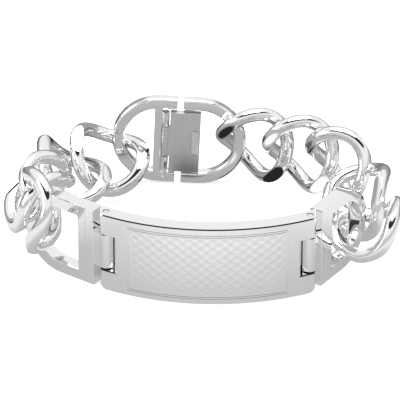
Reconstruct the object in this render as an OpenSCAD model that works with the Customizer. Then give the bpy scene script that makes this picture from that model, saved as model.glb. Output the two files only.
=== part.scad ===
// Heavy curb chain identity bracelet, fastened and lying on its side.
// The plate faces -Y, the clasp is at +Y, and the floor is z = 0. All sizes are in millimetres.

/* [Identity plate] */
// Height of the plate as it stands on its long edge
plate_h = 16; // [15:0.5:17]
// Outer radius of the plate's curve
plate_r = 41.5; // [40:0.5:44]
// Thickness of the plate
plate_t = 3.2; // [3:0.1:3.3]
// Length of the plate from end to end
plate_len = 39.6; // [39:0.2:40]
// Height of the notch at each end of the plate
notch_h = 7.4; // [7.2:0.1:8]
// Distance from the plate's end to the hinge pin's axis
pin_inset = 1.1; // [1:0.05:1.2]
// Diameter of the hinge pins
pin_d = 1.1; // [0.9:0.1:1.2]

/* [End connectors] */
// Thickness of a connector, across the band
conn_t = 2.8; // [2.5:0.1:2.9]
// Distance from the pin's axis to the near edge of the connector's bar
conn_reach = 2.1; // [2.05:0.05:2.4]
// Width of the connector's bar, along the band
conn_bar = 3.6; // [3:0.1:4]
// Distance from the pin's axis to the middle of the round end
conn_arc = 9.9; // [9.5:0.1:10.2]
// Width of the connector's arms and round end
conn_w = 2.3; // [2:0.1:2.5]
// Turn of the left connector on its pin, from the straight line through the plate
conn_turn_left = 34; // [33:1:36]
// Turn of the right connector on its pin
conn_turn_right = 58; // [57:1:58]

/* [Chain links] */
// Diameter of the wire of a link
wire_d = 2.7; // [2.5:0.05:2.8]
// Length of a link along the chain, over the wire
link_len = 15.8; // [15.4:0.1:16.2]
// Width of a link across the chain, over the wire
link_w = 17.4; // [17:0.1:17.8]
// Twist of a link from end to end, in degrees
link_twist = 68; // [60:2:76]
// Thickness of the chain between its filed flat faces
chain_t = 5.6; // [5.4:0.1:6.4]

/* [Clasp] */
// Height of the clasp's two round halves
clasp_h = 18.4; // [18:0.1:18.8]
// Length of each half, from the split to the round end
clasp_half = 12.4; // [12:0.1:12.8]
// Diameter of the halves' round section
clasp_d = 2.4; // [2.2:0.1:2.5]
// Gap at the split between the halves
clasp_split = 1.2; // [1:0.1:1.4]
// Width of the lid along the band
lid_w = 5.9; // [5.6:0.1:6]
// Height of the lid
lid_h = 13; // [12.6:0.1:13.1]
// Thickness of the lid
lid_t = 1.3; // [1.1:0.1:1.4]
// Lean of the clasp to the right, in degrees
clasp_lean = 2.5; // [0:0.5:4]
// Opening angle of the lid, from shut
lid_open = 0; // [0:5:100]

/* [Hidden] */
$fn = 64;

// Where each link lies, numbered from the plate: x, y and z of its middle, then the compass
// heading of its long axis, how far that axis rises and how far the link rolls about it, in degrees
LEFT_LINKS = [
  [-29.5, -14, 13, 90, 5, 5],
  [-31, -7, 12, -10, 40, -85],
  [-31, 2, 8, 50, 60, -20],
  [-26, 11, 7.5, 50, -15, 65],
  [-19, 17.5, 7, 40, 5, 65],
];
RIGHT_LINKS = [
  [31.5, -7.5, 7, -145, -25, 75],
  [30, 2, 7.5, -170, -50, 105],
  [26, 10, 10, -50, 5, -10],
  [18.5, 15.5, 9.5, -25, 5, -10],
  [9.5, 19, 9.5, -20, 0, -15],
];

polished = "gainsboro";
brushed = "darkgray";
cut = 0.5;
running_gap = 0.05;
side_gap = 0.2;

// Place of the plate's middle and of the clasp's middle
plate_x = 1.6;
plate_front_y = -25.5;
clasp_x = -5.3;
clasp_y = 20.3;

pin_x = plate_len / 2 - pin_inset;
plate_mid_r = plate_r - plate_t / 2;
pin_y = plate_front_y + plate_r - sqrt(plate_mid_r * plate_mid_r - pin_x * pin_x);
tongue_h = notch_h - 2 * side_gap;
tongue_step = 0.2;
tongue_t = conn_t - 2 * tongue_step;
barrel_r = conn_t / 2;
notch_gap = 0.25;
notch_depth = pin_inset + barrel_r + notch_gap;
relief_angle = 57;
relief = conn_reach - side_gap;

// The plate is a slice of a ring, cut square at its ends, with a notch and a pin bore at each end.
module id_plate() {
  color(polished)
  translate([plate_x, plate_front_y + plate_r, 0])
  difference() {
    intersection() {
      difference() {
        cylinder(r = plate_r, h = plate_h, $fn = 180);
        translate([0, 0, -cut]) cylinder(r = plate_r - plate_t, h = plate_h + 2 * cut, $fn = 180);
      }
      translate([-plate_len / 2, -plate_r - cut, -cut])
        cube([plate_len, plate_r / 2, plate_h + 2 * cut]);
    }
    for (side = [0, 1]) mirror([side, 0, 0]) plate_end_cuts();
  }
}

// What is cut from the plate's right end, in the frame of the plate's centre of curvature
module plate_end_cuts() {
  pin_depth = -sqrt(plate_mid_r * plate_mid_r - pin_x * pin_x);
  translate([plate_len / 2 - notch_depth, pin_depth - plate_t, (plate_h - notch_h) / 2])
    cube([notch_depth + cut, 2 * plate_t, notch_h]);
  translate([pin_x, pin_depth, -cut])
    cylinder(d = pin_d + 2 * running_gap, h = plate_h + 2 * cut);
  translate([pin_x, pin_depth, -cut])
    rotate([0, 0, relief_angle])
    translate([relief, -plate_t, 0])
    cube([plate_t, 2 * plate_t, plate_h + 2 * cut]);
}

module at_pin(side) {
  translate([plate_x + side * pin_x, pin_y, 0]) children();
}

module plate_pin() {
  color(polished) cylinder(d = pin_d, h = plate_h);
}

// A connector runs along +X from its pin at the origin. Its flat frame stands on the floor.
module connector() {
  ring_out = plate_h / 2;
  ring_in = ring_out - conn_w;
  arm = conn_arc - conn_reach;
  color(polished)
  difference() {
    union() {
      cylinder(r = barrel_r, h = tongue_h);
      translate([0, -tongue_t / 2, 0]) cube([conn_reach + cut, tongue_t, tongue_h]);
      translate([conn_reach, -conn_t / 2, (tongue_h - plate_h) / 2]) cube([conn_bar, conn_t, plate_h]);
      for (low = [0, plate_h - conn_w])
        translate([conn_reach, -conn_t / 2, (tongue_h - plate_h) / 2 + low]) cube([arm, conn_t, conn_w]);
      translate([conn_arc, 0, tongue_h / 2])
        rotate([90, 0, 0])
        rotate([0, 0, -90])
        translate([0, 0, -conn_t / 2])
        rotate_extrude(angle = 180, $fn = 96) translate([ring_in, 0]) square([conn_w, conn_t]);
    }
    translate([0, 0, -cut]) cylinder(d = pin_d + 2 * running_gap, h = tongue_h + 2 * cut);
  }
}

module connector_right() {
  at_pin(1) rotate([0, 0, conn_turn_right]) translate([0, 0, (plate_h - tongue_h) / 2]) connector();
}

module connector_left() {
  at_pin(-1) mirror([1, 0, 0]) rotate([0, 0, conn_turn_left])
    translate([0, 0, (plate_h - tongue_h) / 2]) connector();
}

module plate_pin_left() {
  at_pin(-1) plate_pin();
}

module plate_pin_right() {
  at_pin(1) plate_pin();
}

// A link is an oval of wire, twisted about its long axis X, with its wide sides filed flat.
LINK_STEPS = 16;
WIRE_SIDES = 6;
// The six-sided wire is drawn a tenth larger, so that it holds as much metal as the round one
wire_swell = 1.1;
wire_r = wire_d / 2 * wire_swell;

function unit(v) = v / norm(v);
function clamp(v, limit) = max(-limit, min(limit, v));
function wire_centre(t) =
  let (turn = link_twist / 2 * cos(t), across = (link_w - wire_d) / 2 * sin(t))
  [(link_len - wire_d) / 2 * cos(t), across * sin(turn), across * cos(turn)];
function wire_point(t, a) =
  let (along = unit(wire_centre(t + 1) - wire_centre(t - 1)),
       out = unit([0, 1, 0] - along[1] * along),
       p = wire_centre(t) + wire_r * (cos(a) * out + sin(a) * cross(along, out)))
  [p[0], clamp(p[1], chain_t / 2), p[2]];

module curb_link() {
  points = [for (i = [0 : LINK_STEPS - 1]) for (j = [0 : WIRE_SIDES - 1])
    wire_point((i + 0.5) * 360 / LINK_STEPS, (j + 0.5) * 360 / WIRE_SIDES)];
  faces = [for (i = [0 : LINK_STEPS - 1]) for (j = [0 : WIRE_SIDES - 1])
    let (a = i * WIRE_SIDES + j, b = i * WIRE_SIDES + (j + 1) % WIRE_SIDES,
         next = ((i + 1) % LINK_STEPS) * WIRE_SIDES,
         c = next + j, d = next + (j + 1) % WIRE_SIDES)
    each [[a, c, d], [a, d, b]]];
  color(polished) polyhedron(points, faces);
}

module posed_link(pose) {
  translate([pose[0], pose[1], pose[2]]) rotate([-pose[5], -pose[4], pose[3]]) curb_link();
}

module link_left_1() { posed_link(LEFT_LINKS[0]); }
module link_left_2() { posed_link(LEFT_LINKS[1]); }
module link_left_3() { posed_link(LEFT_LINKS[2]); }
module link_left_4() { posed_link(LEFT_LINKS[3]); }
module link_left_5() { posed_link(LEFT_LINKS[4]); }
module link_right_1() { posed_link(RIGHT_LINKS[0]); }
module link_right_2() { posed_link(RIGHT_LINKS[1]); }
module link_right_3() { posed_link(RIGHT_LINKS[2]); }
module link_right_4() { posed_link(RIGHT_LINKS[3]); }
module link_right_5() { posed_link(RIGHT_LINKS[4]); }

// The clasp's own frame is at the middle of its split: X runs along the band, +Y points out of the
// bracelet and Z up. The lid lies on the inner side.
clasp_lift = 0.2;
clasp_z = clasp_h / 2 + clasp_lift;
loop_r = (clasp_h - clasp_d) / 2;
loop_arc_x = clasp_half + clasp_split / 2 - clasp_h / 2;
leg_start = clasp_split / 2;
hinge_x = -2.75;
hinge_y = -0.75;
knuckle_r = 0.75;
clasp_pin_r = 0.4;
knuckle_split = 3.3;
knuckle_end = 6.4;
knuckle_gap = 0.1;
slot_front = 1.2;
web_start = 0.1;
web_sink = 0.3;
base_web_y = [-0.95, -0.2];
lid_web_y = [-1.25, -0.25];
base_bar = [-4.9, -3.4];
base_bar_y = [-1.1, 0.9];
catch_bar = [0.9, 2.7];
catch_bar_y = [0.05, 1.15];
lid_x = -1.85;
lid_y = -1.4;
tab_w = 1.6;
tab_h = 5.5;
tab_groove = 0.35;
groove_depth = 0.3;
lip_x = [2.9, 3.7];
lip_out = 0.6;
lip_h = 4.6;
lip_sink = 0.2;
tab_inset = 0.15;

module at_clasp() {
  translate([clasp_x, clasp_y, clasp_z]) rotate([0, clasp_lean, 0]) children();
}

// Box between two ranges, centred on z = 0
module upright(x, y, h) {
  translate([x[0], y[0], -h / 2]) cube([x[1] - x[0], y[1] - y[0], h]);
}

// The right-hand loop of the clasp: a half ring and two straight legs that end at the split
module clasp_loop() {
  translate([loop_arc_x, 0, 0]) rotate([90, 0, 0]) rotate([0, 0, -90])
    rotate_extrude(angle = 180, $fn = 96) translate([loop_r, 0]) circle(d = clasp_d, $fn = 48);
  for (side = [-1, 1]) translate([leg_start, 0, side * loop_r]) rotate([0, 90, 0])
    cylinder(d = clasp_d, h = loop_arc_x - leg_start, $fn = 48);
}

module clasp_catch() {
  color(polished) at_clasp() {
    clasp_loop();
    upright(catch_bar, catch_bar_y, 2 * loop_r);
  }
}

module clasp_base() {
  color(polished) at_clasp()
  difference() {
    union() {
      mirror([1, 0, 0]) clasp_loop();
      upright(base_bar, base_bar_y, 2 * loop_r);
      for (side = [-1, 1])
        translate([0, 0, side * (knuckle_split + knuckle_end) / 2]) base_knuckle(knuckle_end - knuckle_split);
    }
    upright([hinge_x - knuckle_r - side_gap, hinge_x],
            [hinge_y - slot_front, hinge_y + knuckle_r + side_gap], 2 * knuckle_split);
    translate([hinge_x, hinge_y, -knuckle_end - cut])
      cylinder(r = clasp_pin_r + running_gap, h = 2 * (knuckle_end + cut));
  }
}

module base_knuckle(h) {
  translate([hinge_x, hinge_y, -h / 2]) cylinder(r = knuckle_r, h = h);
  upright([base_bar[1] - web_sink, hinge_x - web_start], base_web_y, h);
}

module clasp_pin() {
  color(polished) at_clasp() translate([hinge_x, hinge_y, -knuckle_end])
    cylinder(r = clasp_pin_r, h = 2 * knuckle_end);
}

module clasp_lid() {
  middle = 2 * (knuckle_split - knuckle_gap);
  color(brushed) at_clasp()
  translate([hinge_x, hinge_y, 0]) rotate([0, 0, -lid_open]) translate([-hinge_x, -hinge_y, 0])
  difference() {
    union() {
      upright([lid_x, lid_x + lid_w], [lid_y, lid_y + lid_t], lid_h);
      translate([hinge_x, hinge_y, -middle / 2]) cylinder(r = knuckle_r, h = middle);
      upright([hinge_x + web_start, lid_x + web_sink], lid_web_y, middle);
      upright(lip_x, [lid_y + lid_t - lip_sink, lip_out], lip_h);
    }
    tab_groove_cut();
    translate([hinge_x, hinge_y, -middle / 2 - cut])
      cylinder(r = clasp_pin_r + running_gap, h = middle + 2 * cut);
  }
}

// A shallow groove round three sides of the thumb tab at the lid's free edge
module tab_groove_cut() {
  tab_x = lid_x + lid_w - tab_inset - tab_w;
  difference() {
    upright([tab_x - tab_groove, lid_x + lid_w + cut], [lid_y - cut, lid_y + groove_depth],
            tab_h + 2 * tab_groove);
    upright([tab_x, lid_x + lid_w + 2 * cut], [lid_y - 2 * cut, lid_y + groove_depth + cut], tab_h);
  }
}

id_plate();
plate_pin_left();
plate_pin_right();
connector_left();
connector_right();
link_left_1();
link_left_2();
link_left_3();
link_left_4();
link_left_5();
link_right_1();
link_right_2();
link_right_3();
link_right_4();
link_right_5();
clasp_base();
clasp_catch();
clasp_pin();
clasp_lid();
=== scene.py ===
"""Looks of the curb chain bracelet: polished links, plate, end links and a fold-over clasp.

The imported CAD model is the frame. Every detailed piece here replaces the CAD node of its name and
lies where that node lies. The bracelet rests on its side on a white floor, as it was photographed.
"""

import logging
import math
from dataclasses import dataclass, field
from enum import Enum
from typing import Any, Iterable, Optional, Union

import bmesh
import bpy
from mathutils import Matrix, Vector

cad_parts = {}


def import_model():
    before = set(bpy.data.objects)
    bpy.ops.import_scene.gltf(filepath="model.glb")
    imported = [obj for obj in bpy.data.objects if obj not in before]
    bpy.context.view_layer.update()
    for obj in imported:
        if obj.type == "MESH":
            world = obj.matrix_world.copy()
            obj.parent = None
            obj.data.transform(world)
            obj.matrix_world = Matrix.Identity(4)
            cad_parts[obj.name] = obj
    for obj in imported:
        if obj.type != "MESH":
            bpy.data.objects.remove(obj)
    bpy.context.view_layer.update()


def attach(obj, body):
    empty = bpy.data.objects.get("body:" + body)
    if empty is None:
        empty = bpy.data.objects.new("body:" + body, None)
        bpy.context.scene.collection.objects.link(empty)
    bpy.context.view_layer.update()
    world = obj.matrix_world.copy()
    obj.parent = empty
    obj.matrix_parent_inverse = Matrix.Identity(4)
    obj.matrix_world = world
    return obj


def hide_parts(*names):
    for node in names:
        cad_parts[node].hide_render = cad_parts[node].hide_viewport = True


MM = 0.001
BODY = "bracelet"
LID_BODY = "lid"

# Edges that turn more than CRISP degrees stay crisp, and more than SHARP radians get a bevel.
CRISP = 25.0
SHARP = math.radians(60)

# How near two places count as one, in millimetres: for a cut, for a point and for a rounded corner.
CUT_TOUCH = 1e-5
SAME_PLACE = 1e-4
NEAR = 0.01

log = logging.getLogger("bracelet")

Number = Union[int, float]


class Slot(Enum):
    """Names of the two finishes, polished and brushed."""

    POLISHED = "polished_steel"
    BRUSHED = "brushed_steel"


class Side(Enum):
    """The two ends of the band as the viewer sees them, with the sign of X."""

    LEFT = -1
    RIGHT = 1

    @property
    def word(self) -> str:
        """The side's name as it stands in node names."""
        return self.name.lower()


class Value:
    """A number socket of a shader, with the usual arithmetic as Math nodes."""

    def __init__(self, graph: "Shader", socket: Any) -> None:
        """Wraps a socket.

        Args:
            graph: The shader that the socket belongs to.
            socket: The output socket that carries the number.
        """
        self.graph = graph
        self.socket = socket

    def _math(self, operation: str, *inputs: Union["Value", Number], clamp: bool = False) -> "Value":
        """Adds a Math node.

        Args:
            operation: The Math node's operation.
            *inputs: The node's inputs, as values or numbers.
            clamp: Whether the result is kept between 0 and 1.

        Returns:
            The node's result.
        """
        settings = {"operation": operation, "use_clamp": clamp}
        node = self.graph.node("ShaderNodeMath", settings, dict(enumerate(inputs)))
        return Value(self.graph, node.outputs[0])

    def __add__(self, other: Union["Value", Number]) -> "Value":
        """This value plus another."""
        return self._math("ADD", self, other)

    __radd__ = __add__

    def __sub__(self, other: Union["Value", Number]) -> "Value":
        """This value less another."""
        return self._math("SUBTRACT", self, other)

    def __rsub__(self, other: Union["Value", Number]) -> "Value":
        """Another value less this one."""
        return self._math("SUBTRACT", other, self)

    def __mul__(self, other: Union["Value", Number]) -> "Value":
        """This value times another."""
        return self._math("MULTIPLY", self, other)

    __rmul__ = __mul__

    def size(self) -> "Value":
        """This value without its sign."""
        return self._math("ABSOLUTE", self)

    def power(self, exponent: Number) -> "Value":
        """This value raised to a power."""
        return self._math("POWER", self, exponent)

    def clamped(self) -> "Value":
        """This value kept between 0 and 1."""
        return self._math("ADD", self, 0.0, clamp=True)


class Shader:
    """One node tree, of a material or of the world, built node by node."""

    def __init__(self, owner: Union[bpy.types.Material, bpy.types.World], output: str) -> None:
        """Starts an empty node tree with an output.

        Args:
            owner: The material or world.
            output: The type of the output node.
        """
        self.owner = owner
        owner.use_nodes = True
        self.tree = owner.node_tree
        self.tree.nodes.clear()
        self.output = self.tree.nodes.new(output)

    @classmethod
    def for_material(cls, name: str) -> "Shader":
        """Starts a new material."""
        return cls(bpy.data.materials.new(name), "ShaderNodeOutputMaterial")

    @classmethod
    def for_world(cls, name: str) -> "Shader":
        """Starts a new world."""
        return cls(bpy.data.worlds.new(name), "ShaderNodeOutputWorld")

    def node(self, kind: str, settings: Optional[dict[str, Any]] = None,
             inputs: Optional[dict[Union[int, str], Any]] = None) -> bpy.types.Node:
        """Adds a node, sets it up and fills its inputs.

        Args:
            kind: The node's type.
            settings: Attributes that are set before the inputs.
            inputs: Values, wrapped values or sockets, by the input's name or number.

        Returns:
            The new node.
        """
        made = self.tree.nodes.new(kind)
        for key, setting in (settings or {}).items():
            setattr(made, key, setting)
        for key, given in (inputs or {}).items():
            source = given.socket if isinstance(given, Value) else given
            if isinstance(source, bpy.types.NodeSocket):
                self.tree.links.new(source, made.inputs[key])
            else:
                made.inputs[key].default_value = source
        return made

    def value(self, kind: str, settings: dict[str, Any], inputs: dict[Union[int, str], Any],
              output: Union[int, str] = 0) -> Value:
        """Adds a node and wraps one of its outputs as a number."""
        return Value(self, self.node(kind, settings, inputs).outputs[output])

    def coordinates(self, kind: str = "Object") -> tuple[Value, Value, Value]:
        """The coordinates of a point as three numbers.

        Args:
            kind: Object, or Generated in a world, where it is the direction.

        Returns:
            X, Y and Z.
        """
        where = self.node("ShaderNodeTexCoord").outputs[kind]
        split = self.node("ShaderNodeSeparateXYZ", {}, {0: where})
        return tuple(Value(self, output) for output in split.outputs)

    def place(self, scale: tuple[float, float, float],
              turn: tuple[float, float, float] = (0.0, 0.0, 0.0)) -> Any:
        """Object coordinates, turned and scaled.

        Args:
            scale: Scale along each axis, per metre.
            turn: Euler angles in degrees.

        Returns:
            The vector socket.
        """
        coordinates = self.node("ShaderNodeTexCoord").outputs["Object"]
        return self.node("ShaderNodeMapping", {}, {
            "Vector": coordinates,
            "Rotation": tuple(math.radians(a) for a in turn),
            "Scale": scale,
        }).outputs[0]

    def finish(self, surface: bpy.types.Node) -> Union[bpy.types.Material, bpy.types.World]:
        """Links the surface to the output and returns the material or world."""
        self.tree.links.new(surface.outputs[0], self.output.inputs["Surface"])
        return self.owner


@dataclass(frozen=True)
class PolishedSteel:
    """Mirror-polished steel with faint smudges and hair-fine polishing marks."""

    name: str = "polished_steel_finish"
    grey: float = 0.9
    roughness: float = 0.045
    smudge: float = 0.05
    smudges_per_metre: float = 160.0
    hairline: float = 0.02
    hairline_depth: float = 0.02 * MM
    hairlines_per_metre: tuple[float, float, float] = (9000.0, 700.0, 900.0)
    hairline_turn: tuple[float, float, float] = (0.0, 20.0, 35.0)

    def material(self) -> bpy.types.Material:
        """Builds the material.

        Returns:
            The finished material.
        """
        shader = Shader.for_material(self.name)
        cloud = shader.value("ShaderNodeTexNoise", {}, {
            "Vector": shader.place((self.smudges_per_metre,) * 3), "Scale": 1.0, "Detail": 3.0})
        marks = shader.value("ShaderNodeTexNoise", {}, {
            "Vector": shader.place(self.hairlines_per_metre, self.hairline_turn),
            "Scale": 1.0, "Detail": 2.0})
        bump = shader.node("ShaderNodeBump", {}, {
            "Strength": self.hairline, "Distance": self.hairline_depth, "Height": marks})
        surface = shader.node("ShaderNodeBsdfPrincipled", {}, {
            "Base Color": (self.grey, self.grey, self.grey, 1.0),
            "Metallic": 1.0,
            "Roughness": (cloud * self.smudge + self.roughness).clamped(),
            "Normal": bump.outputs[0],
        })
        return shader.finish(surface)


@dataclass(frozen=True)
class BrushedSteel:
    """Steel with fine brushing that runs up and down."""

    name: str = "brushed_steel_finish"
    grey: float = 0.78
    roughness: float = 0.28
    streak: float = 0.16
    contrast: float = 0.3
    streaks_per_metre: tuple[float, float, float] = (14000.0, 14000.0, 260.0)
    relief: float = 0.25
    relief_depth: float = 0.01 * MM

    def material(self) -> bpy.types.Material:
        """Builds the material.

        Returns:
            The finished material.
        """
        shader = Shader.for_material(self.name)
        streaks = shader.value("ShaderNodeTexNoise", {}, {
            "Vector": shader.place(self.streaks_per_metre), "Scale": 1.0, "Detail": 4.0})
        dark = self.grey * (1 - self.contrast / 2)
        light = self.grey * (1 + self.contrast / 2)
        tone = shader.node("ShaderNodeMix", {"data_type": "RGBA"}, {
            0: streaks, 6: (dark, dark, dark, 1.0), 7: (light, light, light, 1.0)})
        bump = shader.node("ShaderNodeBump", {}, {
            "Strength": self.relief, "Distance": self.relief_depth, "Height": streaks})
        surface = shader.node("ShaderNodeBsdfPrincipled", {}, {
            "Base Color": tone.outputs[2],
            "Metallic": 1.0,
            "Roughness": (streaks * self.streak + self.roughness).clamped(),
            "Normal": bump.outputs[0],
        })
        return shader.finish(surface)


@dataclass(frozen=True)
class WhiteGround:
    """Matt white paper under the bracelet, lit until it is plain white."""

    name: str = "white_ground"
    grey: float = 0.9
    roughness: float = 0.9
    glow: float = 0.55

    def material(self) -> bpy.types.Material:
        """Builds the material.

        Returns:
            The finished material.
        """
        shader = Shader.for_material(self.name)
        surface = shader.node("ShaderNodeBsdfPrincipled", {}, {
            "Base Color": (self.grey, self.grey, self.grey, 1.0),
            "Roughness": self.roughness,
            "Specular IOR Level": 0.0,
            "Emission Color": (1.0, 1.0, 1.0, 1.0),
            "Emission Strength": self.glow,
        })
        return shader.finish(surface)


@dataclass(frozen=True)
class PaintedReflectionGround:
    """Painted reflections of the table, on a sheet that only the polished metal shows: bright in front,
    with painted shade near the foot and inside the band, and painted dark reflections behind.

    The spots are painted dark reflections and painted highlights, placed where the links' facets mirror
    the floor: X, Y, radius and brightness of each.
    A spot is even out to spot_core of its radius and fades from there. Places are in millimetres.
    """

    name: str = "painted_reflection_ground"
    far: float = 0.97
    foot_shade: float = 0.36
    inside_shade: float = 0.12
    back_shade: float = 0.25
    foot: tuple[float, float] = (-57.0, -26.0)
    inside: tuple[float, float] = (-25.0, -9.0)
    back: tuple[float, float] = (13.0, 41.0)
    sides: tuple[float, float] = (34.0, 46.0)
    side_level: float = 0.92
    spot_core: float = 0.6
    # Painted dark reflections and painted highlights, as X, Y, radius and brightness.
    painted_spots: tuple[tuple[float, float, float, float], ...] = (
        (-44.0, 45.0, 34.0, 0.03),
        (-3.5, 12.0, 4.6, 0.02),
        (11.0, 14.5, 4.8, 0.02),
        (2.1, 7.6, 4.0, 1.1),
        (18.5, 9.0, 4.4, 1.1),
        (5.4, 18.2, 3.4, 0.12),
    )

    def material(self) -> bpy.types.Material:
        """Builds the material.

        Returns:
            The finished material.
        """
        shader = Shader.for_material(self.name)
        x, y, _ = (part * (1 / MM) for part in shader.coordinates())
        # Painted shade near the foot and inside the band, painted dark reflections behind, and brighter
        # painted reflections beside the band.
        level = (self.far - self.passed(y, *self.foot) * self.foot_shade
                 - self.passed(y, *self.inside) * self.inside_shade
                 - self.passed(y, *self.back) * self.back_shade)
        beside = self.passed(x.size(), *self.sides) * (1 - self.passed(y, *self.back))
        level = level * (1 - beside) + beside * self.side_level
        # Painted dark reflections and painted highlights, one spot at a time.
        for spot_x, spot_y, size, tone in self.painted_spots:
            off_x = x - spot_x
            off_y = y - spot_y
            away = (off_x * off_x + off_y * off_y).power(0.5)
            painted_spot = 1 - self.passed(away, size * self.spot_core, size)
            level = level * (1 - painted_spot) + painted_spot * tone
        surface = shader.node("ShaderNodeBsdfPrincipled", {}, {
            "Base Color": (0.0, 0.0, 0.0, 1.0),
            "Roughness": 1.0,
            "Specular IOR Level": 0.0,
            "Emission Color": level,
            "Emission Strength": 1.0,
        })
        return shader.finish(surface)

    @staticmethod
    def passed(value: "Value", start: float, end: float) -> "Value":
        """Goes from 0 to 1 as a value goes from one level to another."""
        return ((value - start) * (1 / (end - start))).clamped()


@dataclass(frozen=True)
class PaleRoom:
    """Surroundings of the set: a white tent with a dark strip over the camera and a dim low back."""

    low_level: float = 0.62
    high_level: float = 0.95
    horizon: float = 0.38
    horizon_fade: float = 0.12
    strip_level: float = 0.03
    strip: tuple[float, float] = (0.69, 0.90)
    strip_front: float = 0.18
    back_level: float = 0.4
    back_top: float = 0.36
    back_start: float = 0.3
    back_fade: float = 0.1
    edge: float = 0.02

    def world(self) -> bpy.types.World:
        """Builds the world.

        Returns:
            The finished world.
        """
        shader = Shader.for_world("pale_room")
        x, y, z = shader.coordinates("Generated")
        up = self.step(z, self.horizon, self.horizon_fade)
        level = up * (self.high_level - self.low_level) + self.low_level
        strip = (self.step(z, self.strip[0], self.edge) * (1 - self.step(z, self.strip[1], self.edge))
                 * self.step(y * -1, self.strip_front, self.edge))
        back = ((1 - self.step(z, self.back_top, self.edge))
                * self.step(y, self.back_start, self.back_fade))
        level = level * (1 - back) + back * self.back_level
        level = level * (1 - strip) + strip * self.strip_level
        return shader.finish(shader.node("ShaderNodeBackground", {}, {
            "Color": level, "Strength": 1.0}))

    @staticmethod
    def step(value: "Value", at: float, width: float) -> "Value":
        """Goes from 0 to 1 where a value passes a level, over a given width."""
        return ((value - (at - width / 2)) * (1 / width)).clamped()


def show_only_in_metal(piece: bpy.types.Object) -> None:
    """Hides a piece of the set from the camera and from matt surfaces.

    Args:
        piece: The piece, which only polished metal then shows.
    """
    piece.visible_camera = False
    piece.visible_diffuse = False
    piece.visible_shadow = False


def mesh_object(name: str, bm: bmesh.types.BMesh) -> bpy.types.Object:
    """Turns a bmesh into a scene object at the origin.

    Args:
        name: The object's name.
        bm: The mesh, which is freed.

    Returns:
        The new object.
    """
    mesh = bpy.data.meshes.new(name)
    bm.to_mesh(mesh)
    bm.free()
    piece = bpy.data.objects.new(name, mesh)
    bpy.context.scene.collection.objects.link(piece)
    return piece


def shade_by_angle(piece: bpy.types.Object, degrees: float) -> None:
    """Smooths a piece's faces but keeps its sharper edges crisp.

    Args:
        piece: The piece.
        degrees: Edges that turn more than this stay crisp.
    """
    for polygon in piece.data.polygons:
        polygon.use_smooth = True
    piece.data.set_sharp_from_angle(angle=math.radians(degrees))


def keep_flats_flat(piece: bpy.types.Object) -> None:
    """Shades a piece so that its large faces reflect like true planes.

    Args:
        piece: The piece.
    """
    shade_by_angle(piece, CRISP)
    weighted = piece.modifiers.new("Weighted normals", "WEIGHTED_NORMAL")
    weighted.keep_sharp = True
    weighted.mode = "FACE_AREA"


def apply_modifiers(piece: bpy.types.Object) -> None:
    """Replaces a piece's mesh by what its modifiers make of it.

    Args:
        piece: The piece, which keeps no modifiers.
    """
    graph = bpy.context.evaluated_depsgraph_get()
    done = bpy.data.meshes.new_from_object(piece.evaluated_get(graph))
    piece.modifiers.clear()
    piece.data = done


def combine(piece: bpy.types.Object, operation: str, *tools: bpy.types.Object) -> None:
    """Welds solids to a piece or cuts them from it, and removes them.

    Args:
        piece: The piece that changes.
        operation: UNION or DIFFERENCE.
        *tools: The solids that are used up.
    """
    for tool in tools:
        boolean = piece.modifiers.new("Boolean", "BOOLEAN")
        boolean.operation = operation
        boolean.solver = "EXACT"
        boolean.object = tool
        apply_modifiers(piece)
        bpy.data.objects.remove(tool)


def everything(bm: bmesh.types.BMesh) -> list[Any]:
    """All vertices, edges and faces of a mesh, as the operators want them."""
    return bm.verts[:] + bm.edges[:] + bm.faces[:]


def parts_of(faces: Iterable[bmesh.types.BMFace]) -> list[Any]:
    """Some faces with their edges and vertices.

    Args:
        faces: The faces.

    Returns:
        The vertices, edges and faces in one list, as the operators want them.
    """
    faces = list(faces)
    edges = {edge for face in faces for edge in face.edges}
    verts = {vert for face in faces for vert in face.verts}
    return [*verts, *edges, *faces]


def score(bm: bmesh.types.BMesh, geometry: list[Any], point: tuple[float, float, float],
          across: tuple[float, float, float]) -> None:
    """Draws a line of edges over faces where a plane meets them.

    Args:
        bm: The mesh.
        geometry: The faces that are scored, with their edges and vertices.
        point: A point of the plane.
        across: The plane's normal.
    """
    bmesh.ops.bisect_plane(bm, geom=geometry, dist=CUT_TOUCH, plane_co=point, plane_no=across)


def block(x: tuple[float, float], y: tuple[float, float], z: tuple[float, float],
          edge: float = 0.0, segments: int = 2) -> bmesh.types.BMesh:
    """A box between three ranges, with its edges rounded.

    Args:
        x: Lowest and highest X.
        y: Lowest and highest Y.
        z: Lowest and highest Z.
        edge: Width of the rounding.
        segments: Strips across the rounding.

    Returns:
        The box as a mesh.
    """
    bm = bmesh.new()
    bmesh.ops.create_cube(bm, size=1.0)
    size = tuple(high - low for low, high in (x, y, z))
    middle = tuple((low + high) / 2 for low, high in (x, y, z))
    bmesh.ops.scale(bm, vec=size, verts=bm.verts)
    bmesh.ops.translate(bm, vec=middle, verts=bm.verts)
    if edge:
        soften(bm, bm.edges[:], edge, segments)
    return bm


def soften(bm: bmesh.types.BMesh, edges: list[bmesh.types.BMEdge], width: float,
           segments: int = 2, clamp: bool = True) -> None:
    """Bevels edges.

    Args:
        bm: The mesh.
        edges: The edges.
        width: Width of the bevel on each side.
        segments: One makes a chamfer, more make it round.
        clamp: Whether the whole bevel narrows where a neighbour is short of room.
    """
    bmesh.ops.bevel(bm, geom=edges, offset=width, segments=segments, profile=0.5, affect="EDGES",
                    clamp_overlap=clamp, material=-1)


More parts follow.
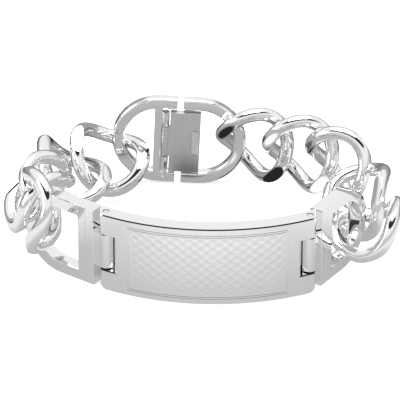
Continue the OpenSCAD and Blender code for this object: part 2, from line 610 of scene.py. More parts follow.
def rod(radius: float, low: float, high: float, place: tuple[float, float], sides: int = 48,
        edge: float = 0.0) -> bmesh.types.BMesh:
    """An upright round rod.

    Args:
        radius: Its radius.
        low: Height of its lower end.
        high: Height of its upper end.
        place: X and Y of its axis.
        sides: Number of sides.
        edge: Rounding of its ends.

    Returns:
        The rod as a mesh.
    """
    bm = bmesh.new()
    bmesh.ops.create_cone(bm, cap_ends=True, segments=sides, radius1=radius, radius2=radius,
                          depth=high - low)
    bmesh.ops.translate(bm, vec=(place[0], place[1], (low + high) / 2), verts=bm.verts)
    if edge:
        rims = [e for e in bm.edges if e.verts[0].co.z == e.verts[1].co.z]
        soften(bm, rims, edge, 3)
    return bm


def settle(name: str, bm: bmesh.types.BMesh, place: Matrix) -> bpy.types.Object:
    """Puts a shape built in millimetres in its place and turns its faces outwards.

    Args:
        name: The object's name.
        bm: The shape, which is freed.
        place: The transform from the shape's own frame, in metres.

    Returns:
        The new object.
    """
    bmesh.ops.scale(bm, vec=(MM, MM, MM), verts=bm.verts)
    bm.transform(place)
    bmesh.ops.recalc_face_normals(bm, faces=bm.faces)
    return mesh_object(name, bm)


def dress(piece: bpy.types.Object, finish: bpy.types.Material, slot: Slot, body: str,
          *nodes: str) -> None:
    """Gives a piece its finish, body and CAD nodes, and reports it.

    Args:
        piece: The piece.
        finish: Its material.
        slot: The slot of that finish, which is not used.
        body: The CAD body that it moves with.
        *nodes: The CAD nodes that it stands for.
    """
    piece.data.materials.clear()
    piece.data.materials.append(finish)
    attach(piece, body)
    if nodes:
        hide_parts(*nodes)
    log.info("%s: %d faces, rides on %s", piece.name, len(piece.data.polygons), body)


@dataclass(frozen=True)
class Pose:
    """Where a link lies: its middle in millimetres and its three turns in degrees.

    heading is the compass direction of its long axis, rise how far that axis climbs, and roll how
    far the link turns about it.
    """

    x: float
    y: float
    z: float
    heading: float
    rise: float
    roll: float

    def matrix(self) -> Matrix:
        """The pose as a transform, in metres.

        Returns:
            The matrix that takes a link from its own frame to its place.
        """
        turn = (Matrix.Rotation(math.radians(self.heading), 4, "Z")
                @ Matrix.Rotation(math.radians(-self.rise), 4, "Y")
                @ Matrix.Rotation(math.radians(-self.roll), 4, "X"))
        return Matrix.Translation(Vector((self.x, self.y, self.z)) * MM) @ turn


@dataclass
class CurbLink:
    """A twisted oval link with its wide sides filed flat. Sizes are in millimetres."""

    length: float = 15.8
    width: float = 17.4
    wire: float = 2.7
    twist: float = 68.0
    thickness: float = 5.6
    rings: int = 144
    strands: int = 32
    edge: float = 0.05

    def centre(self, t: float) -> Vector:
        """A point on the wire's centre line.

        Args:
            t: Place on the oval, as an angle in radians.

        Returns:
            The point in the link's own frame, long axis along X and wide axis along Z.
        """
        turn = math.radians(self.twist / 2) * math.cos(t)
        across = (self.width - self.wire) / 2 * math.sin(t)
        return Vector(((self.length - self.wire) / 2 * math.cos(t),
                       across * math.sin(turn), across * math.cos(turn)))

    def bend(self, point: Vector, radius: float) -> Vector:
        """Takes a point of a plain ring to the twisted oval.

        Args:
            point: The point on the ring, which lies in the XY plane.
            radius: The ring's radius.

        Returns:
            The point on the link.
        """
        t = math.atan2(point.y, point.x)
        step = 0.01
        along = (self.centre(t + step) - self.centre(t - step)).normalized()
        out = Vector((0.0, 1.0, 0.0)) - along.y * along
        out.normalize()
        off = math.hypot(point.x, point.y) - radius
        return self.centre(t) + off * out + point.z * along.cross(out)

    def build(self, name: str, pose: Pose) -> bpy.types.Object:
        """Builds the link in its place.

        Args:
            name: The piece's name.
            pose: Where it lies.

        Returns:
            The link.
        """
        # Any ring that is wider than its wire will do, because bend() gives each point its place.
        radius = 4 * self.wire
        bm = bmesh.new()
        bmesh.ops.create_circle(bm, segments=self.strands, radius=self.wire / 2)
        bmesh.ops.rotate(bm, verts=bm.verts, cent=(0, 0, 0), matrix=Matrix.Rotation(math.pi / 2, 3, "X"))
        bmesh.ops.translate(bm, verts=bm.verts, vec=(radius, 0, 0))
        bmesh.ops.spin(bm, geom=everything(bm), cent=(0, 0, 0), axis=(0, 0, 1),
                       angle=math.tau, steps=self.rings, use_merge=True)
        for vert in bm.verts:
            vert.co = self.bend(vert.co, radius)
        for side in (-1, 1):
            self.file_flat(bm, side)
        bmesh.ops.recalc_face_normals(bm, faces=bm.faces)
        bmesh.ops.scale(bm, vec=(MM, MM, MM), verts=bm.verts)
        bm.transform(pose.matrix())
        piece = mesh_object(name, bm)
        shade_by_angle(piece, CRISP)
        return piece

    def file_flat(self, bm: bmesh.types.BMesh, side: int) -> None:
        """Cuts the link's wide side flat and breaks the edge of the cut.

        Args:
            bm: The link's mesh.
            side: 1 for the outer side, -1 for the inner side.
        """
        plane = (0.0, side * self.thickness / 2, 0.0)
        bmesh.ops.bisect_plane(bm, geom=everything(bm), dist=CUT_TOUCH, plane_co=plane,
                               plane_no=(0.0, side, 0.0), clear_outer=True)
        rim = [edge for edge in bm.edges if edge.is_boundary]
        bmesh.ops.holes_fill(bm, edges=rim, sides=0)
        soften(bm, rim, self.edge)


@dataclass
class Chain:
    """The ten links, five on each side of the clasp, numbered from the plate."""

    link: CurbLink = field(default_factory=CurbLink)
    left: tuple[Pose, ...] = (
        Pose(-29.5, -14, 13, 90, 5, 5),
        Pose(-31, -7, 12, -10, 40, -85),
        Pose(-31, 2, 8, 50, 60, -20),
        Pose(-26, 11, 7.5, 50, -15, 65),
        Pose(-19, 17.5, 7, 40, 5, 65),
    )
    right: tuple[Pose, ...] = (
        Pose(31.5, -7.5, 7, -145, -25, 75),
        Pose(30, 2, 7.5, -170, -50, 105),
        Pose(26, 10, 10, -50, 5, -10),
        Pose(18.5, 15.5, 9.5, -25, 5, -10),
        Pose(9.5, 19, 9.5, -20, 0, -15),
    )

    def build(self, finish: bpy.types.Material) -> None:
        """Builds every link in the place of its CAD node.

        Args:
            finish: The material of all links.
        """
        for side, poses in ((Side.LEFT, self.left), (Side.RIGHT, self.right)):
            for number, pose in enumerate(poses, 1):
                node = f"link_{side.word}_{number}"
                piece = self.link.build(node + "_wire", pose)
                dress(piece, finish, Slot.POLISHED, BODY, node)


@dataclass
class IdPlate:
    """The curved plate with its double-line frame, diamond cutting and two hinge pins.

    It is cut as a flat slab, front face at y = 0 with the metal behind it, and then bent. Sizes are in
    millimetres.
    """

    length: float = 39.6
    height: float = 16.0
    thickness: float = 3.2
    radius: float = 41.5
    middle_x: float = 1.6
    front_y: float = -25.5
    notch_depth: float = 2.75
    notch_height: float = 7.4
    notch_slant: float = 0.5
    pin_inset: float = 1.1
    pin_play: float = 0.09
    pin_ends: tuple[float, float] = (0.05, 0.02)
    pin_edge: float = 0.12
    bore: float = 0.62
    bore_overrun: float = 1.0
    low_corner: float = 1.1
    low_corner_steps: int = 8
    top_corner: float = 0.35
    top_corner_steps: int = 4
    chamfer: float = 0.2
    low_edge: float = 0.45
    low_edge_steps: int = 5
    step: float = 1.1
    diamond_width: float = 2.2
    diamond_height: float = 1.77
    diamonds_along: int = 13
    diamonds_up: int = 7
    line_offsets: tuple[float, float] = (0.14, 0.52)
    line_width: float = 0.14
    line_depth: float = 0.07
    land: float = 0.06
    slope: float = 0.2
    slope_depth: float = 0.08

    @property
    def half_along(self) -> float:
        """Half the length of the diamond panel."""
        return self.diamonds_along * self.diamond_width / 2

    @property
    def half_up(self) -> float:
        """Half the height of the diamond panel."""
        return self.diamonds_up * self.diamond_height / 2

    def outside_panel(self, point: Vector) -> float:
        """How far a point of the front lies outside the diamond panel, or less than 0 inside it."""
        return max(abs(point.x) - self.half_along, abs(point.z - self.height / 2) - self.half_up)

    def pin_place(self, side: Side) -> tuple[float, float]:
        """Finds a hinge pin's axis in the bracelet's frame.

        Args:
            side: The plate's end.

        Returns:
            X and Y of the axis.
        """
        out = self.length / 2 - self.pin_inset
        middle_radius = self.radius - self.thickness / 2
        return (self.middle_x + side.value * out,
                self.front_y + self.radius - math.sqrt(middle_radius ** 2 - out ** 2))

    def build(self, finish: bpy.types.Material) -> None:
        """Builds the plate and its two pins.

        Args:
            finish: The material of all three.
        """
        bm = self.slab()
        self.shape_edges(bm)
        self.score_frame(bm)
        self.cut_diamonds(bm)
        self.bend(bm)
        piece = settle("id_plate_engraved", bm, Matrix.Identity(4))
        for side in Side:
            place = self.pin_place(side)
            drill = rod(self.bore, -self.bore_overrun, self.height + self.bore_overrun, place)
            combine(piece, "DIFFERENCE", settle("drill", drill, Matrix.Identity(4)))
            pin = rod(self.bore - self.pin_play, self.pin_ends[0], self.height - self.pin_ends[1], place,
                      edge=self.pin_edge)
            pin = settle(f"plate_pin_{side.word}_domed", pin, Matrix.Identity(4))
            keep_flats_flat(pin)
            dress(pin, finish, Slot.POLISHED, BODY, f"plate_pin_{side.word}")
        keep_flats_flat(piece)
        dress(piece, finish, Slot.POLISHED, BODY, "id_plate")

    def slab(self) -> bmesh.types.BMesh:
        """Makes the flat slab with a notch at each end.

        Returns:
            The slab as a closed mesh.
        """
        bm = bmesh.new()
        bmesh.ops.create_grid(bm, x_segments=1, y_segments=1, size=0.5)
        bmesh.ops.rotate(bm, verts=bm.verts, cent=(0, 0, 0), matrix=Matrix.Rotation(math.pi / 2, 3, "X"))
        bmesh.ops.scale(bm, vec=(self.length, 1.0, self.height), verts=bm.verts)
        bmesh.ops.translate(bm, vec=(0, 0, self.height / 2), verts=bm.verts)
        notch_x = self.length / 2 - self.notch_depth
        for side in (-1, 1):
            score(bm, everything(bm), (side * notch_x, 0, 0), (1, 0, 0))
        for side in (-1, 1):
            ends = [face for face in bm.faces if abs(face.calc_center_median().x) > notch_x]
            score(bm, parts_of(ends), (0, 0, (self.height + side * self.notch_height) / 2), (0, 0, 1))
        notches = [face for face in bm.faces if abs(face.calc_center_median().x) > notch_x
                   and abs(face.calc_center_median().z - self.height / 2) < self.notch_height / 2]
        bmesh.ops.delete(bm, geom=notches, context="FACES")
        back = bmesh.ops.extrude_face_region(bm, geom=bm.faces[:])
        moved = [part for part in back["geom"] if isinstance(part, bmesh.types.BMVert)]
        bmesh.ops.translate(bm, vec=(0, self.thickness, 0), verts=moved)
        for vert in moved:
            if abs(abs(vert.co.x) - notch_x) < NEAR:
                vert.co.x += math.copysign(self.notch_slant, vert.co.x)
        bmesh.ops.recalc_face_normals(bm, faces=bm.faces)
        return bm

    def shape_edges(self, bm: bmesh.types.BMesh) -> None:
        """Rounds the corners of the slab, chamfers its upper rims and rounds its lower ones.

        Args:
            bm: The slab.
        """
        for low, radius, steps in ((True, self.low_corner, self.low_corner_steps),
                                   (False, self.top_corner, self.top_corner_steps)):
            corners = [edge for edge in bm.edges
                       if self.runs_inward(edge) and self.is_corner(edge)
                       and (edge.verts[0].co.z < self.height / 2) == low]
            soften(bm, corners, radius, steps)
        upper = [edge for edge in bm.edges if self.is_rim(edge) and self.middle(edge).z > self.low_corner]
        soften(bm, upper, self.chamfer, 1, clamp=False)
        lower = [edge for edge in bm.edges if self.is_rim(edge) and self.middle(edge).z < self.low_corner]
        soften(bm, lower, self.low_edge, self.low_edge_steps, clamp=False)

    @staticmethod
    def middle(edge: bmesh.types.BMEdge) -> Vector:
        """The middle of an edge."""
        return (edge.verts[0].co + edge.verts[1].co) / 2

    @staticmethod
    def runs_inward(edge: bmesh.types.BMEdge) -> bool:
        """Whether an edge runs from the front to the back."""
        along = edge.verts[0].co - edge.verts[1].co
        return abs(along.y) > 0.9 * along.length

    def is_corner(self, edge: bmesh.types.BMEdge) -> bool:
        """Tells whether an edge is one of the slab's four outer corners.

        Args:
            edge: An edge of the slab.

        Returns:
            True for a corner.
        """
        point = self.middle(edge)
        return (abs(abs(point.x) - self.length / 2) < NEAR
                and abs(abs(point.z - self.height / 2) - self.height / 2) < NEAR)

    def is_rim(self, edge: bmesh.types.BMEdge) -> bool:
        """Tells whether an edge lies between the front or back and a side.

        Args:
            edge: An edge of the slab.

        Returns:
            True for a rim.
        """
        flat = all(min(abs(vert.co.y), abs(vert.co.y - self.thickness)) < SAME_PLACE
                   for vert in edge.verts)
        return (flat and not self.runs_inward(edge) and len(edge.link_faces) == 2
                and edge.calc_face_angle() > SHARP)

    def score_frame(self, bm: bmesh.types.BMesh) -> None:
        """Draws the frame's two lines and the panel's border, and sinks the lines.

        The rest of the slab is divided too, so that it can be bent smoothly.

        Args:
            bm: The slab.
        """
        for side in (-1, 1):
            for offset in (0.0, *(line + part * self.line_width / 2
                                  for line in self.line_offsets for part in (-1, 0, 1))):
                score(bm, everything(bm), (side * (self.half_along + offset), 0, 0), (1, 0, 0))
                score(bm, everything(bm),
                      (0, 0, self.height / 2 + side * (self.half_up + offset)), (0, 0, 1))
        steps = int(self.length / 2 / self.step)
        for number in range(-steps, steps + 1):
            rest = [face for face in bm.faces if not self.in_panel(face)]
            score(bm, parts_of(rest), (number * self.step, 0, 0), (1, 0, 0))
        for vert in bm.verts:
            if vert.co.y < SAME_PLACE and any(abs(self.outside_panel(vert.co) - line) < SAME_PLACE
                                              for line in self.line_offsets):
                vert.co.y += self.line_depth

    def in_panel(self, face: bmesh.types.BMFace) -> bool:
        """Whether a face is part of the diamond panel."""
        return (all(vert.co.y < SAME_PLACE for vert in face.verts)
                and self.outside_panel(face.calc_center_median()) < 0)

    def cut_diamonds(self, bm: bmesh.types.BMesh) -> None:
        """Cuts the panel into diamonds, each sunk below the fine lands between them.

        Args:
            bm: The slab with its frame.
        """
        lines = (self.diamonds_along + self.diamonds_up) // 2
        for side in (-1, 1):
            across = Vector((1 / self.diamond_width, 0, side / self.diamond_height))
            for number in range(-lines, lines + 1):
                point = across * (number / across.length_squared) + Vector((0, 0, self.height / 2))
                panel = [face for face in bm.faces if self.in_panel(face)]
                score(bm, parts_of(panel), tuple(point), tuple(across.normalized()))
        bmesh.ops.recalc_face_normals(bm, faces=bm.faces)
        diamonds = [face for face in bm.faces if self.in_panel(face)]
        bmesh.ops.inset_individual(bm, faces=diamonds, thickness=self.land, depth=0.0,
                                   use_even_offset=True)
        bmesh.ops.inset_individual(bm, faces=diamonds, thickness=self.slope, depth=-self.slope_depth,
                                   use_even_offset=True)

    def bend(self, bm: bmesh.types.BMesh) -> None:
        """Bends the slab round its centre of curvature and puts it in the bracelet's frame.

        Args:
            bm: The finished slab.
        """
        for vert in bm.verts:
            reach = self.radius - vert.co.y
            vert.co = (self.middle_x + vert.co.x,
                       self.front_y + self.radius - math.sqrt(reach ** 2 - vert.co.x ** 2),
                       vert.co.z)


@dataclass
class Connector:
    """A D-shaped end link: a bar, two arms and a half ring, with a tongue that the pin goes through.

    It is built along +X from the pin at the origin, front face towards -Y. Sizes are in millimetres.
    """

    height: float = 16.0
    thickness: float = 2.8
    reach: float = 2.1
    bar: float = 3.6
    arc: float = 9.9
    width: float = 2.3
    tongue_height: float = 7.0
    tongue_thickness: float = 2.4
    tongue_root: float = 0.5
    barrel_overlap: float = 0.02
    barrel_sides: int = 64
    barrel_edge: float = 0.1
    bore: float = 0.62
    chamfer: float = 0.14
    groove: float = 0.16
    groove_depth: float = 0.12
    turns: tuple[float, float] = (34.0, 58.0)
    steps: int = 36

    def build(self, finish: bpy.types.Material, plate: IdPlate) -> None:
        """Builds both connectors on the plate's pins.

        Args:
            finish: Their material.
            plate: The plate, which says where the pins are.
        """
        for side, turn in zip(Side, self.turns):
            x, y = plate.pin_place(side)
            place = (Matrix.Translation((x * MM, y * MM, 0)) @ Matrix.Scale(side.value, 4, (1, 0, 0))
                     @ Matrix.Rotation(math.radians(turn), 4, "Z"))
            piece = settle(f"connector_{side.word}_polished", self.frame_shape(), place)
            low = (self.height - self.tongue_height) / 2
            high = (self.height + self.tongue_height) / 2
            tongue = block((0.0, self.reach + self.tongue_root),
                           (-self.tongue_thickness / 2, self.tongue_thickness / 2), (low, high))
            barrel = rod(self.thickness / 2, low - self.barrel_overlap, high + self.barrel_overlap, (0, 0),
                         self.barrel_sides, self.barrel_edge)
            drill = rod(self.bore, 0.0, self.height, (0, 0))
            combine(piece, "UNION", settle("tongue", tongue, place), settle("barrel", barrel, place))
            combine(piece, "DIFFERENCE", settle("drill", drill, place))
            keep_flats_flat(piece)
            dress(piece, finish, Slot.POLISHED, BODY, f"connector_{side.word}")

    def frame_shape(self) -> bmesh.types.BMesh:
        """Makes the D with its bar.

        Returns:
            The closed mesh, in millimetres.
        """
        bm = bmesh.new()
        front = -self.thickness / 2
        middle = self.height / 2
        inner = bm.verts.new((self.arc, front, self.height - self.width))
        outer = bm.verts.new((self.arc, front, self.height))
        start = bm.edges.new((inner, outer))
        ring = bmesh.ops.spin(bm, geom=[inner, outer, start], cent=(self.arc, front, middle),
                              axis=(0, 1, 0), angle=math.pi, steps=self.steps)
        ends = [start, *(part for part in ring["geom_last"] if isinstance(part, bmesh.types.BMEdge))]
        corners = []
        for x in (self.reach + self.bar, self.reach):
            arms = bmesh.ops.extrude_edge_only(bm, edges=ends)["geom"]
            ends = [part for part in arms if isinstance(part, bmesh.types.BMEdge)]
            moved = [part for part in arms if isinstance(part, bmesh.types.BMVert)]
            ends = [edge for edge in ends if all(vert in moved for vert in edge.verts)]
            for vert in moved:
                vert.co.x = x
            corners += [vert for vert in moved if abs(vert.co.z - middle) < middle - self.width / 2]
        bmesh.ops.contextual_create(bm, geom=corners)
        line = self.reach + self.bar / 2
        for off in (-self.groove / 2, 0.0, self.groove / 2):
            bar = [face for face in bm.faces if face.calc_center_median().x < self.reach + self.bar]
            score(bm, parts_of(bar), (line + off, 0, 0), (1, 0, 0))
        back = bmesh.ops.extrude_face_region(bm, geom=bm.faces[:])
        moved = [part for part in back["geom"] if isinstance(part, bmesh.types.BMVert)]
        bmesh.ops.translate(bm, vec=(0, self.thickness, 0), verts=moved)
        bmesh.ops.recalc_face_normals(bm, faces=bm.faces)
        rims = [edge for edge in bm.edges if edge.calc_face_angle() > SHARP]
        soften(bm, rims, self.chamfer, 1)
        for vert in bm.verts:
            on_face = abs(abs(vert.co.y) - self.thickness / 2) < SAME_PLACE
            if on_face and abs(vert.co.x - line) < SAME_PLACE:
                vert.co.y -= math.copysign(self.groove_depth, vert.co.y)
        return bm


@dataclass
class Clasp:
    """The clasp: a base with a hinge, a catch and a lid that folds over both on the inside.

    Its own frame is at the middle of the split: X runs along the band, +Y points out of the
    bracelet and Z up. Sizes are in millimetres.
    """

    x: float = -5.3
    y: float = 20.3
    z: float = 9.4
    lean: float = 2.5
    arc: float = 3.8
    loop_radius: float = 8.0
    section: float = 2.3
    section_corner: float = 0.55
    section_steps: int = 5
    leg_start: float = 0.6
    leg_edge: float = 0.16
    steps: int = 40
    hinge: tuple[float, float] = (-2.75, -0.75)
    knuckle: float = 0.75
    knuckle_split: float = 3.3
    knuckle_end: float = 6.4
    knuckle_gap: float = 0.1
    knuckle_edge: float = 0.08
    web_inset: float = 0.02
    pin: float = 0.4
    pin_play: float = 0.02
    pin_inset: float = 0.03
    pin_edge: float = 0.1
    pin_sides: int = 32
    bore_play: float = 0.05
    bar_edge: float = 0.12
    base_bar: tuple[float, float] = (-4.9, -3.4)
    base_bar_y: tuple[float, float] = (-1.1, 0.9)
    base_web_x: tuple[float, float] = (-0.3, -0.1)
    base_web_y: tuple[float, float] = (-0.2, 0.55)
    base_line: float = -3.8
    base_line_width: float = 0.12
    base_line_depth: float = 0.16
    base_line_inset: float = 1.0
    slot_room: float = 0.2
    slot_front: float = 1.2
    catch_bar: tuple[float, float] = (0.9, 2.7)
    catch_bar_y: tuple[float, float] = (0.05, 1.15)
    lid_x: tuple[float, float] = (-1.85, 4.05)
    lid_y: tuple[float, float] = (-1.4, -0.1)
    lid_height: float = 13.0
    lid_edge: float = 0.12
    lid_web_x: tuple[float, float] = (0.1, 0.2)
    lid_web_half: float = 0.5
    lip_x: tuple[float, float] = (2.9, 3.7)
    lip_out: float = 0.6
    lip_sink: float = 0.2
    lip_height: float = 4.6
    lip_edge: float = 0.15
    recess: float = 0.4
    cut_overrun: float = 1.0
    tab_width: float = 1.25
    tab_height: float = 5.2
    tab_margin: float = 0.35
    tab_gap: float = 0.3
    tab_low: float = 0.05
    tab_root: float = 0.2
    tab_round: float = 0.42
    tab_round_steps: int = 6
    tab_edge: float = 0.12

    @property
    def place(self) -> Matrix:
        """The clasp's place in the bracelet's frame."""
        return (Matrix.Translation(Vector((self.x, self.y, self.z)) * MM)
                @ Matrix.Rotation(math.radians(self.lean), 4, "Y"))

    def build(self, polished: bpy.types.Material, brushed: bpy.types.Material) -> None:
        """Builds the base, the catch, the pin and the lid.

        Args:
            polished: The material of all but the lid's leaf.
            brushed: The material of the lid's leaf.
        """
        self.build_base(polished)
        self.build_catch(polished)
        self.build_lid(polished, brushed)
        end = self.knuckle_end - self.pin_inset
        pin = rod(self.pin - self.pin_play, -end, end, self.hinge, self.pin_sides, self.pin_edge)
        piece = settle("clasp_pin_rod", pin, self.place)
        keep_flats_flat(piece)
        dress(piece, polished, Slot.POLISHED, BODY, "clasp_pin")

    def settled(self, name: str, bm: bmesh.types.BMesh) -> bpy.types.Object:
        """Puts a shape built in the clasp's frame in its place."""
        return settle(name, bm, self.place)

    def hinge_bore(self) -> bpy.types.Object:
        """Makes the solid that drills the hinge for its pin.

        Returns:
            The solid, which is used up by the cut.
        """
        bore = rod(self.pin + self.bore_play, -self.loop_radius, self.loop_radius, self.hinge,
                   self.pin_sides)
        return self.settled("bore", bore)

    def loop(self) -> bmesh.types.BMesh:
        """Makes the catch's loop: a half ring with two legs that end at the split.

        Returns:
            The closed mesh, in millimetres.
        """
        bm = bmesh.new()
        bmesh.ops.create_grid(bm, x_segments=1, y_segments=1, size=self.section / 2)
        bmesh.ops.bevel(bm, geom=bm.verts[:], offset=self.section_corner, segments=self.section_steps,
                        profile=0.5, affect="VERTICES", material=-1)
        bmesh.ops.rotate(bm, verts=bm.verts, cent=(0, 0, 0), matrix=Matrix.Rotation(math.pi / 2, 3, "Y"))
        bmesh.ops.translate(bm, verts=bm.verts, vec=(self.arc, 0, self.loop_radius))
        bmesh.ops.delete(bm, geom=bm.faces[:], context="FACES_ONLY")
        first = bm.edges[:]
        ring = bmesh.ops.spin(bm, geom=bm.verts[:] + first, cent=(self.arc, 0, 0), axis=(0, 1, 0),
                              angle=math.pi, steps=self.steps)
        last = [part for part in ring["geom_last"] if isinstance(part, bmesh.types.BMEdge)]
        legs = bmesh.ops.extrude_edge_only(bm, edges=first + last)["geom"]
        for part in legs:
            if isinstance(part, bmesh.types.BMVert):
                part.co.x = self.leg_start
        rims = [edge for edge in bm.edges if edge.is_boundary]
        bmesh.ops.holes_fill(bm, edges=rims, sides=0)
        soften(bm, rims, self.leg_edge)
        return bm

    def build_catch(self, finish: bpy.types.Material) -> None:
        """Builds the catch: the right-hand loop with its crossbar.

        Args:
            finish: Its material.
        """
        piece = self.settled("clasp_catch_loop", self.loop())
        half = self.loop_radius
        bar = block(self.catch_bar, self.catch_bar_y, (-half, half), self.bar_edge)
        combine(piece, "UNION", self.settled("bar", bar))
        keep_flats_flat(piece)
        dress(piece, finish, Slot.POLISHED, BODY, "clasp_catch")

    def build_base(self, finish: bpy.types.Material) -> None:
        """Builds the base: the left-hand loop with its crossbar and the outer hinge knuckles.

        Args:
            finish: Its material.
        """
        loop = self.loop()
        bmesh.ops.scale(loop, vec=(-1, 1, 1), verts=loop.verts)
        piece = self.settled("clasp_base_loop", loop)
        half = self.loop_radius
        bar = block(self.base_bar, self.base_bar_y, (-half, half), self.bar_edge)
        combine(piece, "UNION", self.settled("bar", bar), *self.base_knuckles())
        combine(piece, "DIFFERENCE", self.settled("slot", self.knuckle_slot()),
                self.settled("line", self.bar_line()), self.hinge_bore())
        keep_flats_flat(piece)
        dress(piece, finish, Slot.POLISHED, BODY, "clasp_base")

    def base_knuckles(self) -> list[bpy.types.Object]:
        """Makes the base's two knuckles, each with the web that joins it to the bar.

        Returns:
            The four solids.
        """
        solids = []
        hinge_x, hinge_y = self.hinge
        for side in (-1, 1):
            low, high = sorted((side * self.knuckle_split, side * self.knuckle_end))
            knuckle = rod(self.knuckle, low, high, self.hinge, edge=self.knuckle_edge)
            web = block((self.base_bar[1] + self.base_web_x[0], hinge_x + self.base_web_x[1]),
                        (hinge_y + self.base_web_y[0], hinge_y + self.base_web_y[1]),
                        (low + self.web_inset, high - self.web_inset))
            solids += [self.settled("knuckle", knuckle), self.settled("web", web)]
        return solids

    def knuckle_slot(self) -> bmesh.types.BMesh:
        """Makes the room that the base leaves for the lid's knuckle.

        Returns:
            The room as a block.
        """
        hinge_x, hinge_y = self.hinge
        return block((hinge_x - self.knuckle - self.slot_room, hinge_x),
                     (hinge_y - self.slot_front, hinge_y + self.knuckle + self.slot_room),
                     (-self.knuckle_split, self.knuckle_split))

    def bar_line(self) -> bmesh.types.BMesh:
        """Makes the cutter of the fine upright line in the base's bar.

        Returns:
            The cutter as a block.
        """
        half_width = self.base_line_width / 2
        half = self.loop_radius - self.base_line_inset
        front = self.base_bar_y[0]
        return block((self.base_line - half_width, self.base_line + half_width),
                     (front - self.cut_overrun, front + self.base_line_depth), (-half, half))

    def build_lid(self, polished: bpy.types.Material, brushed: bpy.types.Material) -> None:
        """Builds the lid: a brushed leaf with its knuckle and lip, and a polished thumb tab.

        Args:
            polished: The material of the thumb tab.
            brushed: The material of the leaf.
        """
        half = self.lid_height / 2
        piece = self.settled("clasp_lid_leaf", block(self.lid_x, self.lid_y, (-half, half), self.lid_edge))
        hinge_x, hinge_y = self.hinge
        knuckle_half = self.knuckle_split - self.knuckle_gap
        knuckle = rod(self.knuckle, -knuckle_half, knuckle_half, self.hinge, edge=self.knuckle_edge)
        web = block((hinge_x + self.lid_web_x[0], self.lid_x[0] + self.lid_web_x[1]),
                    (hinge_y - self.lid_web_half, hinge_y + self.lid_web_half),
                    (self.web_inset - knuckle_half, knuckle_half - self.web_inset))
        lip = block(self.lip_x, (self.lid_y[1] - self.lip_sink, self.lip_out),
                    (-self.lip_height / 2, self.lip_height / 2), self.lip_edge)
        combine(piece, "UNION", self.settled("knuckle", knuckle), self.settled("web", web),
                self.settled("lip", lip))
        tab_right = self.lid_x[1] - self.tab_margin
        tab_x = (tab_right - self.tab_width, tab_right)
        pocket_half = (self.tab_height + self.tab_gap) / 2
        pocket = block((tab_x[0] - self.tab_gap, self.lid_x[1] + self.cut_overrun),
                       (self.lid_y[0] - self.cut_overrun, self.lid_y[0] + self.recess),
                       (-pocket_half, pocket_half))
        combine(piece, "DIFFERENCE", self.settled("pocket", pocket), self.hinge_bore())
        keep_flats_flat(piece)
        dress(piece, brushed, Slot.BRUSHED, LID_BODY, "clasp_lid")
        thumb = self.settled("clasp_lid_thumb_tab", self.thumb_tab(tab_x))
        keep_flats_flat(thumb)
        dress(thumb, polished, Slot.POLISHED, LID_BODY)

    def thumb_tab(self, tab_x: tuple[float, float]) -> bmesh.types.BMesh:
        """Makes the thumb tab with its round ends.

        Args:
            tab_x: Its lowest and highest X.

        Returns:
            The closed mesh, in millimetres.
        """
        front = self.lid_y[0] + self.tab_low
        tab = block(tab_x, (front, self.lid_y[0] + self.recess + self.tab_root),
                    (-self.tab_height / 2, self.tab_height / 2))
        inward = [edge for edge in tab.edges
                  if abs(edge.verts[0].co.y - edge.verts[1].co.y) > self.recess]
        soften(tab, inward, self.tab_width * self.tab_round, self.tab_round_steps)
        rim = [edge for edge in tab.edges if all(vert.co.y < front + NEAR for vert in edge.verts)]
        soften(tab, rim, self.tab_edge)
        return tab


@dataclass(frozen=True)
class SoftLight:
    """A square soft light that faces the bracelet, in metres and watts."""

    name: str
    place: tuple[float, float, float]
    size: float
    power: float

    def hang(self) -> None:
        """Puts the light in the scene."""
        lamp = bpy.data.lights.new(self.name, "AREA")
        lamp.shape = "SQUARE"
        lamp.size = self.size
        lamp.energy = self.power
        holder = bpy.data.objects.new(self.name, lamp)
        holder.location = self.place
        holder.rotation_euler = (-Vector(self.place)).to_track_quat("-Z", "Y").to_euler()
        bpy.context.scene.collection.objects.link(holder)


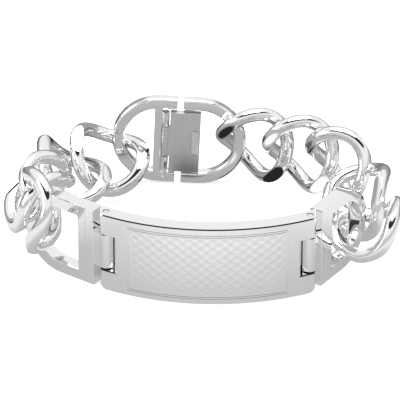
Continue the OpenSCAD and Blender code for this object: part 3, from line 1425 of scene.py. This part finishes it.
@dataclass
class Studio:
    """White floor, a sheet of painted reflections and painted shade under it, pale room and soft lights,
    with the camera of the photo.

    The camera's distance, its target and mirror_drop are in millimetres, the floor in metres.
    """

    elevation: float = 30.0
    turn: float = 2.0
    distance: float = 660.0
    focal: float = 314.5
    sensor: float = 36.0
    farthest: float = 10.0
    target: tuple[float, float, float] = (-0.5, -1.1, 8.2)
    floor_half: float = 2.0
    mirror_drop: float = 0.2
    lights: tuple[SoftLight, ...] = (
        SoftLight("top_light", (0.0, 0.05, 0.5), 0.42, 2.2),
        SoftLight("left_light", (-0.45, -0.15, 0.22), 0.25, 0.9),
    )

    def build(self) -> None:
        """Builds the whole set."""
        bpy.context.scene.view_settings.view_transform = "Standard"
        floor = self.build_sheet("floor", 0.0, WhiteGround().material())
        # The metal does not see the floor; it sees the sheet of painted reflections and painted shade just
        # below it instead.
        floor.visible_glossy = False
        painted_reflection_sheet = self.build_sheet("painted_reflection_floor", self.mirror_drop * MM, PaintedReflectionGround().material())
        show_only_in_metal(painted_reflection_sheet)
        bpy.context.scene.world = PaleRoom().world()
        for light in self.lights:
            light.hang()
        self.build_camera()

    def build_sheet(self, name: str, depth: float, finish: bpy.types.Material) -> bpy.types.Object:
        """Lays a wide flat sheet under the bracelet.

        Args:
            name: The sheet's name.
            depth: How far below the bracelet it lies, in metres.
            finish: Its material.

        Returns:
            The sheet.
        """
        bm = bmesh.new()
        bmesh.ops.create_grid(bm, x_segments=1, y_segments=1, size=self.floor_half)
        bmesh.ops.translate(bm, verts=bm.verts, vec=(0, 0, -depth))
        sheet = mesh_object(name, bm)
        sheet.data.materials.append(finish)
        return sheet

    def build_camera(self) -> None:
        """Sets the camera where the photograph was taken from."""
        elevation = math.radians(self.elevation)
        turn = math.radians(self.turn)
        towards = Vector((math.sin(turn) * math.cos(elevation), -math.cos(turn) * math.cos(elevation),
                          math.sin(elevation)))
        camera = bpy.data.cameras.new("camera")
        camera.lens = self.focal
        camera.sensor_width = self.sensor
        camera.clip_end = self.farthest
        camera.dof.use_dof = False
        holder = bpy.data.objects.new("camera", camera)
        holder.location = (Vector(self.target) + towards * self.distance) * MM
        holder.rotation_euler = (-towards).to_track_quat("-Z", "Y").to_euler()
        bpy.context.scene.collection.objects.link(holder)
        bpy.context.scene.camera = holder


def main() -> None:
    """Builds the pieces in order, then the set."""
    logging.basicConfig(level=logging.INFO, format="%(message)s")
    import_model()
    polished = PolishedSteel().material()
    brushed = BrushedSteel().material()
    Chain().build(polished)
    plate = IdPlate()
    plate.build(polished)
    Connector().build(polished, plate)
    Clasp().build(polished, brushed)
    Studio().build()


if __name__ == "__main__":
    main()
